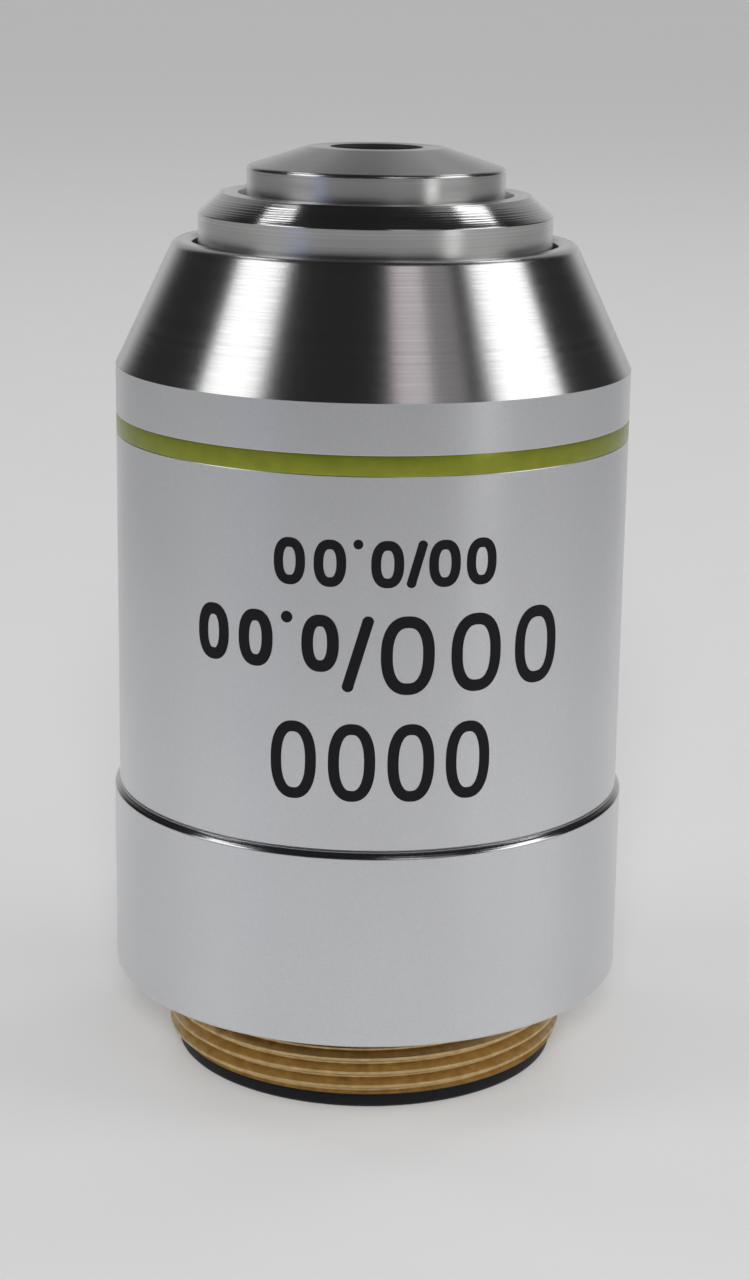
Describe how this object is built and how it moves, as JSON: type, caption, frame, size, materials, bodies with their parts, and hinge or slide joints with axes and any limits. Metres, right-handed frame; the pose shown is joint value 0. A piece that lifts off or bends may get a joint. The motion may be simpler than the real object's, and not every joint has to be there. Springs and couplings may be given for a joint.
{
  "type": "microscope objective",
  "caption": "Screw-in microscope objective with a threaded shank, satin sleeve, conical nose, coloured ring and stepped front cell round a small front lens.",
  "frame": {"origin": "centre of the mounting shoulder's plane, on the optical axis, where the threaded shank begins", "axes": "+Z along the optical axis from the thread to the front lens; the part is turned, and +X and +Y are square to the axis with -Y towards the engraved side"},
  "size_m": [0.0258, 0.0258, 0.0458],
  "materials": {
    "satin_chrome": "satin",
    "turned_chrome": "satin",
    "black_anodised": "matte",
    "band_enamel": "satin",
    "brass": "satin",
    "blackened_brass": "matte",
    "steel": "satin",
    "crown_glass": "polished",
    "flint_glass": "polished"
  },
  "bodies": {
    "root": {"mount_body": "satin_chrome", "rear_stop_ring": "black_anodised", "outer_sleeve": "satin_chrome", "colour_band": "band_enamel", "lens_barrel": "turned_chrome", "parfocal_shim": "brass", "barrel_lock_ring": "brass", "barrel_set_screws": "steel", "front_cell": "turned_chrome", "front_lens": "crown_glass", "front_lens_ring": "black_anodised", "second_cell": "blackened_brass", "second_lens": "crown_glass", "upper_spacer": "blackened_brass", "first_doublet_cell": "blackened_brass", "first_doublet_crown": "crown_glass", "first_doublet_flint": "flint_glass", "middle_spacer": "blackened_brass", "second_doublet_cell": "blackened_brass", "second_doublet_flint": "flint_glass", "second_doublet_crown": "crown_glass", "long_spacer": "blackened_brass", "meniscus_cell": "blackened_brass", "meniscus_crown": "crown_glass", "meniscus_flint": "flint_glass", "aperture_stop": "black_anodised", "cell_lock_ring": "black_anodised"}
  },
  "joints": []
}
